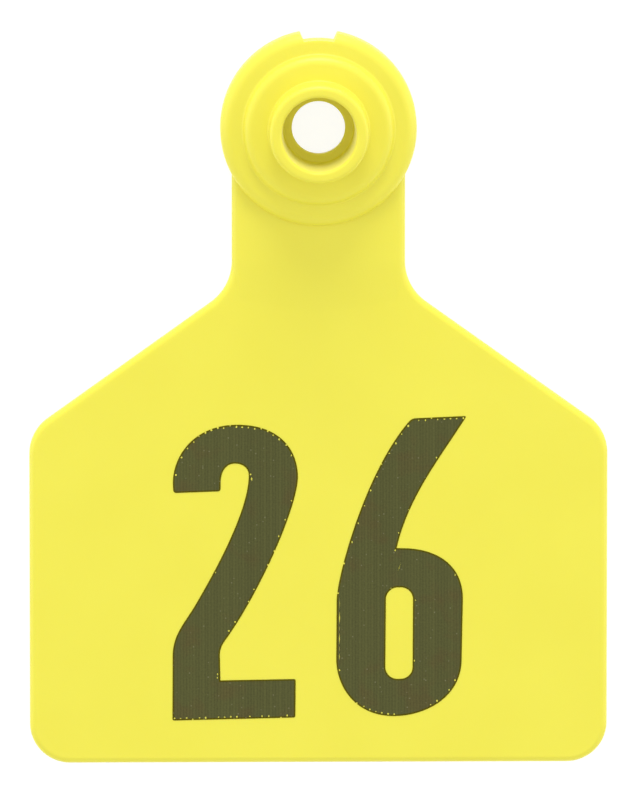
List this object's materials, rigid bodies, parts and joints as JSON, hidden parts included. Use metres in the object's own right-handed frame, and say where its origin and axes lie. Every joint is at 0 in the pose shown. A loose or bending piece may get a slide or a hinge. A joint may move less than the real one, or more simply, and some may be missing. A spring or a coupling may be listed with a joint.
{
  "type": "livestock ear tag",
  "caption": "Flat ear tag panel with sloping shoulders, a thicker neck and a stepped round boss bored for the stud that passes through the animal's ear.",
  "frame": {"origin": "centre of the stud hole in the plane of the flat back", "axes": "+Z out of the numbered face, along the stud hole; +Y up the tag, from the number panel to the boss; +X to the reader's right"},
  "size_m": [0.0762, 0.0974, 0.0082],
  "materials": {
    "tag_polyurethane": "bright yellow flexible polyurethane, satin as moulded",
    "marking_ink": "dark olive marking ink, matt"
  },
  "bodies": {
    "root": {"ear_tag": "tag_polyurethane"}
  },
  "joints": []
}
